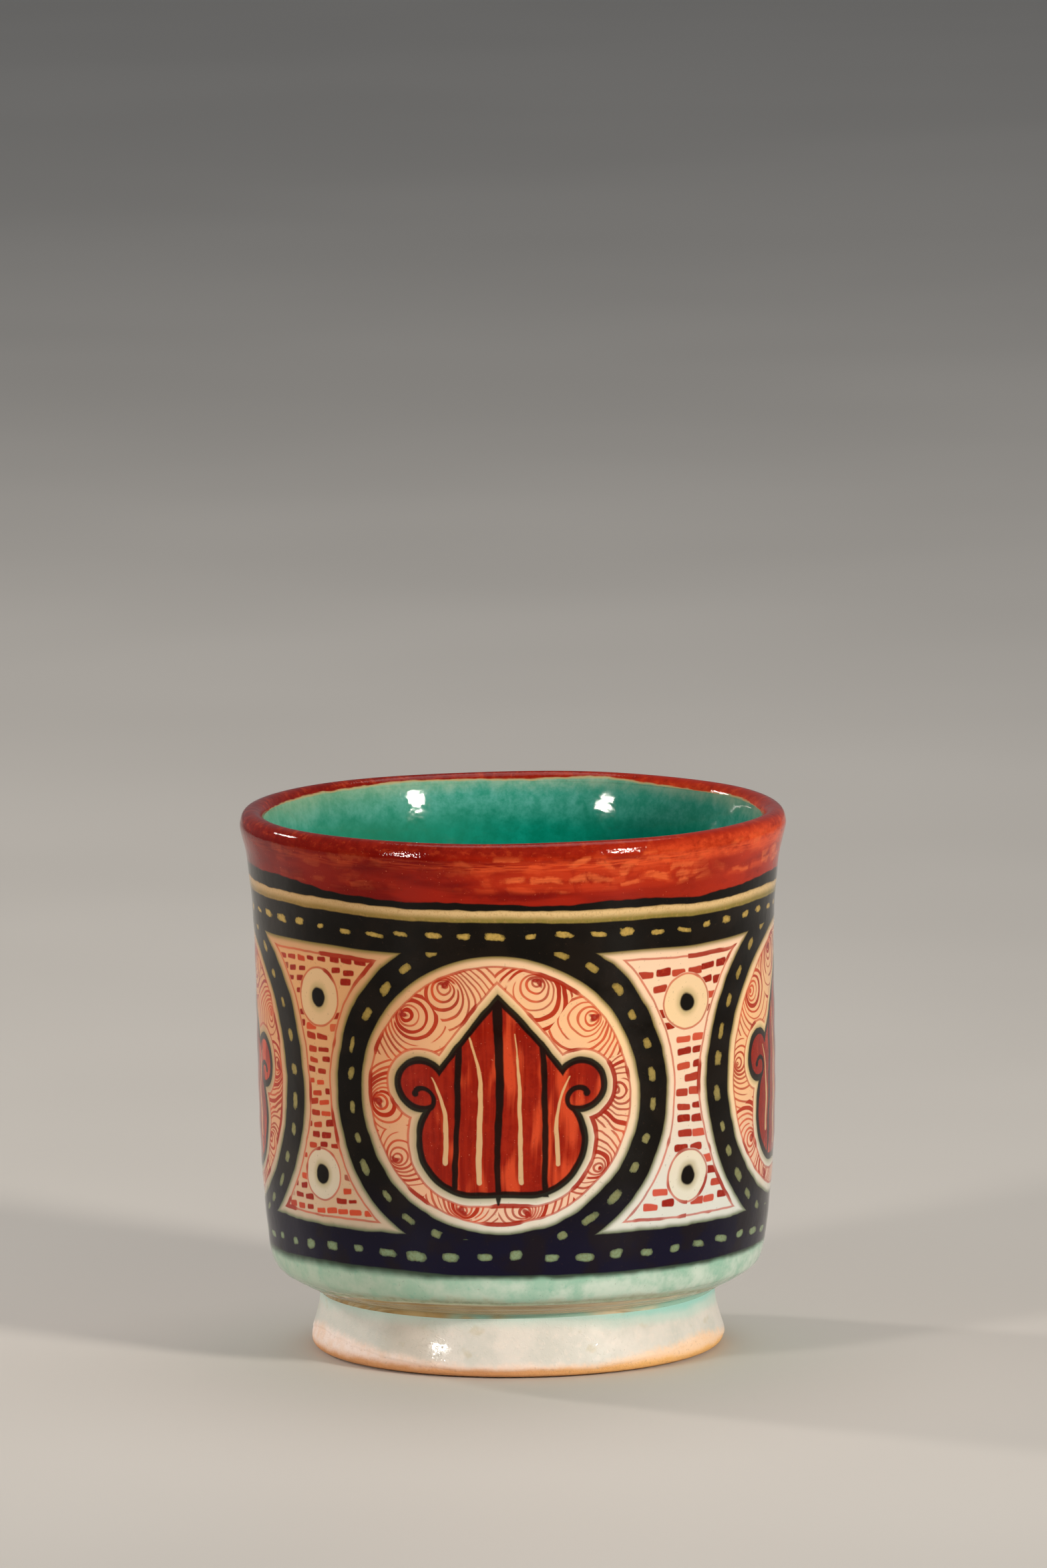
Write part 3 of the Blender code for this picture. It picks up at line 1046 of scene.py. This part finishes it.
    # --- pale turquoise below the frieze -----------------------------------------
    zl = madd(a1, 0.35, madd(a2, 0.30, z - 0.75))
    zl = zl - step(0.90, 1.0, op("COSINE", th + 0.72)) * 0.55
    below = step(18.75, 18.4, zl)
    lefts = step(0.0, -26.0, x)
    mott = noise1(p, 0.22, 4.0, 0.62)
    spots = noise1(p, 0.75, 3.0, 0.6)
    tq = blend(step(0.34, 0.66, mott), lin(190, 208, 192), lin(158, 194, 174))
    # painted light: paler turquoise from the front towards the right side
    tq = blend(step(-14.0, 16.0, x) * step(0.66, 0.36, mott) * 0.35, tq, lin(216, 230, 220))
    # painted shade: duller, darker turquoise on the left side
    tq = blend(lefts * 0.30, tq, lin(146, 162, 130))
    tq = blend(step(0.56, 0.72, madd(spots, 0.6, mott * 0.4)) * 0.40, tq, lin(112, 176, 154))
    tq = blend(step(16.4, 18.5, zl) * 0.45, tq, lin(120, 176, 150))
    tq = blend(step(madd(lefts, -0.7, 17.4), 18.5, madd(c2, 0.8, zl)) * 0.95, tq, lin(44, 56, 42))
    bow = 1.0 - ab(op("COSINE", th))
    edge = madd(a1, 0.5, madd(a2, 0.3, rad)) + mn(bow * bow * 10.0, 5.2)
    skirt = step(15.6, 15.0, z)
    olive = step(42.3, 41.1, madd(mott - 0.5, 2.4, edge)) * step(16.6, 15.4, z)
    tq = blend(olive * 0.80, tq, blend(step(0.40, 0.62, spots), lin(164, 172, 144), lin(146, 152, 122)))
    col = blend(below, col, tq)
    # the scraped cove between the coat's edge and the foot
    bare = step(40.80, 40.50, edge) * skirt
    um = noise1(p, 0.14, 3.0, 0.6)
    rings = noise1(vec(edge * 2.4, th * 1.1, 0.0), 1.0, 3.0)
    # painted light: the cove is lighter on the right side
    painted_light_cove = step(-0.10, 0.45, madd(um - 0.5, 0.8, side))
    ub = blend(step(0.36, 0.64, um), lin(174, 150, 104), lin(158, 130, 82))
    ub = blend(painted_light_cove, ub, blend(step(0.36, 0.64, um), lin(216, 198, 168), lin(198, 176, 140)))
    ub = blend(step(0.42, 0.64, rings) * 0.45, ub, lin(186, 180, 148))
    ub = blend(step(0.58, 0.70, noise1(vec(edge * 4.5, th * 2.2, 3.0), 1.0, 1.0)) * 0.45, ub, lin(118, 100, 66))
    ub = blend(step(0.48, 0.80, madd(um - 0.5, 0.5, side)) * 0.55, ub, lin(156, 180, 154))
    teal = step(36.2, 34.7, rad) * step(0.42, 0.56, madd(side, 0.08, noise1(p, 0.09, 2.0)))
    ub = blend(teal * 0.75, ub, lin(130, 186, 172))
    col = blend(bare, col, ub)
    fine_line = mx(step(0.20, 0.05, ab(edge - 40.65)), step(0.14, 0.03, ab(madd(c1, 0.8, edge) - 39.75)) * 0.6)
    col = blend(fine_line * skirt * 0.55, col, lin(206, 208, 178))
    col = blend(step(0.22, 0.05, ab(edge - 40.30)) * skirt * 0.35, col, lin(112, 104, 72))

    # --- pinholes and glaze surface ----------------------------------------------
    speck = step(0.775, 0.81, noise1(p, 2.4, 0.0))
    col = blend(speck * 0.20, col, lin(60, 44, 30))
    rough = ramp(0.3, 0.7, noise1(p, 0.5, 2.0), 0.045, 0.11) * ramp(89.5, 92.0, z, 1.0, 0.45)
    peel = madd(noise1(p, 0.55, 1.0), 0.6, noise1(p, 0.14, 1.0) * 1.4)
    peel = madd(noise1(p, 2.6, 1.0), madd(step(89.0, 92.0, z), 0.55, 0.03), peel)
    surface(col, rough, peel, 0.00005, specular=0.14)
    return mat


# ============================================================================
# Lining
# ============================================================================


def lining_material():
    mat = begin("turquoise_lining")
    p, (x, y, z) = place()
    th = op("ARCTAN2", x, -y)
    col = lining_colour(p, x, z)
    rough = ramp(0.3, 0.7, noise1(p, 0.5, 2.0), 0.04, 0.10)
    peel = madd(noise1(p, 0.6, 1.0), 0.6, noise1(p, 0.13, 1.0) * 1.6)
    surface(col, rough, peel, 0.00005, specular=0.16)
    return mat


# ============================================================================
# Foot glaze, clay and slip
# ============================================================================


def clay_colour(p, x, z, light, dark, bare_edge):
    mid = noise1(p, 0.18, 4.0, 0.6)
    fine = noise1(p, 1.6, 4.0, 0.65)
    col = blend(step(0.35, 0.65, mid), light, dark)
    if bare_edge:
        col = blend(step(-6.0, 26.0, x) * 0.60, col, lin(252, 208, 160))
        burnt = step(2.6, 1.0, madd(mid, 2.6, z - 1.3))
        col = blend(burnt * 0.90, col, blend(step(-6.0, 24.0, x), lin(214, 146, 80), lin(242, 184, 106)))
        col = blend(step(0.8, 0.0, z) * 0.40, col, lin(176, 118, 72))
    col = blend(step(0.55, 0.78, fine) * 0.22, col, lin(176, 128, 96))
    grit = step(0.70, 0.78, noise1(p, 2.1, 0.0))
    col = blend(grit * 0.18, col, lin(138, 98, 70))
    return col, fine


CLAY_LIGHT, CLAY_DARK = lin(252, 234, 226), lin(244, 214, 194)


def foot_material():
    mat = begin("pale_foot_glaze")
    p, (x, y, z) = place()
    th = op("ARCTAN2", x, -y)
    mid = noise1(p, 0.16, 3.0, 0.6)
    fine = noise1(p, 0.9, 3.0, 0.6)
    side = op("SINE", th)
    col = blend(step(0.38, 0.64, mid), lin(222, 216, 208), lin(208, 206, 198))
    col = blend(step(0.50, 0.70, fine) * 0.35, col, lin(232, 220, 210))
    # painted shade: the foot's glaze is a little darker and greener on the left side
    col = blend(step(-0.2, -0.8, side) * 0.35, col, lin(198, 206, 198))
    # painted reflection: a darker band at the front left of the foot, the reflection of dark surroundings
    col = blend(step(0.20, 0.05, ab(side + 0.53)) * 0.40, col, lin(184, 168, 148))
    # turquoise that ran down out of the crease, furthest at the right
    wash = noise1(vec(th * 2.6, 0.0, z * 0.10), 1.0, 3.0, 0.6)
    right = step(0.15, 0.80, side)
    fall = madd(wash - 0.5, 3.2, FOOT_TOP - z)
    tall = madd(right, 1.5, madd(step(-0.3, -0.8, side), 0.5, 1.0))
    col = blend(step(tall + 1.4, tall - 0.6, fall) * madd(right, 0.20, 0.45), col, lin(176, 210, 200))
    col = blend(step(tall * 0.8, tall * 0.2, fall) * madd(right, 0.42, 0.14), col, lin(112, 198, 188))
    # ochre stains in the thick glaze
    col = blend(step(0.62, 0.74, noise1(p, 0.30, 2.0)) * 0.30, col, lin(188, 172, 128))
    # towards its edge the glaze thins and the clay shows through
    n = TREE.nodes.new("ShaderNodeAttribute")
    n.attribute_name = "above_edge"
    above = Val(n.outputs["Fac"])
    clay, grain = clay_colour(p, x, z, CLAY_LIGHT, CLAY_DARK, True)
    thin = step(1.9, 0.1, madd(fine, 1.6, madd(mid, 1.0, above - 1.3)))
    col = blend(thin * 0.92, col, clay)
    n = TREE.nodes.new("ShaderNodeTexVoronoi")
    n.feature = "DISTANCE_TO_EDGE"
    TREE.links.new(p, n.inputs["Vector"])
    n.inputs["Scale"].default_value = 0.55
    crack = Val(n.outputs["Distance"])
    col = blend(step(0.030, 0.0, crack) * 0.04, col, lin(140, 122, 100))
    # glossy where the glaze lies thick, satin elsewhere, with small bright pits
    blot = hyp((th + 0.395) * 21.0, (z - 5.0) * 0.62)
    blot = madd(noise1(p, 1.5, 2.0, 0.6) - 0.5, 1.5, blot)
    gloss = step(1.25, 0.95, blot)
    crumb = noise1(p, 2.6, 1.0)
    dots = step(0.60, 0.64, crumb) * step(3.6, 2.0, blot)
    dots = mx(dots, step(0.68, 0.72, crumb) * step(0.24, 0.36, side) * step(0.70, 0.56, side))
    rough = ramp(0.3, 0.7, noise1(p, 0.4, 2.0), 0.40, 0.48) + thin * 0.15
    rough = rough - mx(gloss, dots) * 0.34
    pit = step(0.56, 0.74, noise1(p, 1.9, 1.0))
    peel = madd(pit, 0.20, madd(noise1(p, 1.2, 1.0), 0.15, noise1(p, 0.25, 1.0) * 0.9))
    peel = madd(dots, 0.25, peel)
    surface(col, rough, peel, 0.00010, specular=0.28)
    return mat


def clay_material(name, light, dark, bare_edge):
    mat = begin(name)
    p, (x, y, z) = place()
    col, fine = clay_colour(p, x, z, light, dark, bare_edge)
    rough = ramp(0.3, 0.7, fine, 0.55, 0.85)
    surface(col, rough, madd(fine, 1.0, noise1(p, 5.0, 2.0) * 0.5), 0.00018, specular=0.35)
    return mat


outer_coat.data.materials.append(outer_material())
lining.data.materials.append(lining_material())
foot_coat.data.materials.append(foot_material())
foot_clay.data.materials.append(clay_material("bare_foot_clay", CLAY_LIGHT, CLAY_DARK, True))
body_clay.data.materials.append(
    clay_material("body_clay", lin(214, 174, 144), lin(200, 152, 118), False)
)
slip.data.materials.append(clay_material("joint_slip", lin(204, 160, 128), lin(186, 140, 106), False))

# ============================================================================
# Floor, light and camera
# ============================================================================


def floor():
    size, cells = 6.0, 24
    g = np.linspace(-size, size, cells + 1)
    verts = [(a, b, -0.00003) for b in g for a in g]
    faces = []
    for j in range(cells):
        for i in range(cells):
            o = j * (cells + 1) + i
            faces.append((o, o + 1, o + cells + 2, o + cells + 1))
    mesh = bpy.data.meshes.new("floor")
    mesh.from_pydata(verts, [], faces)
    obj = bpy.data.objects.new("floor", mesh)
    bpy.context.scene.collection.objects.link(obj)
    begin_mat = begin("pale_floor")
    p, (x, y, z) = place()
    tone = noise1(p, 0.004, 2.0)
    col = blend(step(0.3, 0.7, tone), lin(206, 202, 196), lin(212, 208, 202))
    surface(col, ramp(0.3, 0.7, tone, 0.55, 0.62), specular=0.25)
    mesh.materials.append(begin_mat)
    return obj


floor()


def lamp(name, azimuth, elevation, distance, size, power, colour, spread=180):
    a, e = math.radians(azimuth), math.radians(elevation)
    at = Vector((math.sin(a) * math.cos(e), -math.cos(a) * math.cos(e), math.sin(e))) * distance
    data = bpy.data.lights.new(name, "AREA")
    data.shape = "ELLIPSE"
    data.size, data.size_y = size
    data.energy = power
    data.color = colour
    data.spread = math.radians(spread)
    obj = bpy.data.objects.new(name, data)
    obj.location = at + Vector((0, 0, 0.05))
    obj.rotation_euler = (-at).to_track_quat("-Z", "Y").to_euler()
    bpy.context.scene.collection.objects.link(obj)
    return obj


lamp("key", 48, 18, 1.30, (0.215, 0.095), 1.33, (1.0, 0.93, 0.83), 60)
lamp("fill", -47, 18, 1.30, (0.21, 0.09), 0.67, (1.0, 0.92, 0.84), 60)
lamp("rear", -120, 24, 1.30, (0.13, 0.13), 5.0, (1.0, 0.92, 0.84))
lamp("top", 165, 72, 1.60, (1.3, 1.3), 9.0, (1.0, 0.97, 0.93))

world = bpy.data.worlds.new("studio")
world.use_nodes = True
world.node_tree.nodes["Background"].inputs[0].default_value = (0.95, 0.97, 1.0, 1.0)
world.node_tree.nodes["Background"].inputs[1].default_value = 0.18
bpy.context.scene.world = world
bpy.context.scene.view_settings.view_transform = "Standard"
bpy.context.scene.view_settings.look = "None"

# The photograph is 1568 x 2349 pixels and 0.1156 mm to a pixel at the cup's rim,
# whose centre lies 16.75 px left of the picture's centre and 49.5 px below it.
PIXEL = 0.1156 * MM
DISTANCE = 2.6
ELEVATION = math.radians(8.1)
ROLL = math.radians(0.6)
back = Vector((0.0, -math.cos(ELEVATION), math.sin(ELEVATION)))
right = Vector((1.0, 0.0, 0.0))
up = Vector((0.0, math.sin(ELEVATION), math.cos(ELEVATION)))
across = right * math.cos(ROLL) - up * math.sin(ROLL)
along = right * math.sin(ROLL) + up * math.cos(ROLL)
aim = Vector((0.0, 0.0, 0.0924)) + across * (16.75 * PIXEL) + along * (49.5 * PIXEL)
camera_data = bpy.data.cameras.new("camera")
camera_data.sensor_width = 36.0
camera_data.lens = 36.0 * DISTANCE / (2349 * PIXEL)
camera_data.clip_start, camera_data.clip_end = 0.1, 60.0
camera = bpy.data.objects.new("camera", camera_data)
camera.location = aim + back * DISTANCE
turn = (-back).to_track_quat("-Z", "Y").to_matrix().to_4x4()
camera.rotation_euler = (turn @ Matrix.Rotation(-ROLL, 4, "Z")).to_euler()
bpy.context.scene.collection.objects.link(camera)
bpy.context.scene.camera = camera
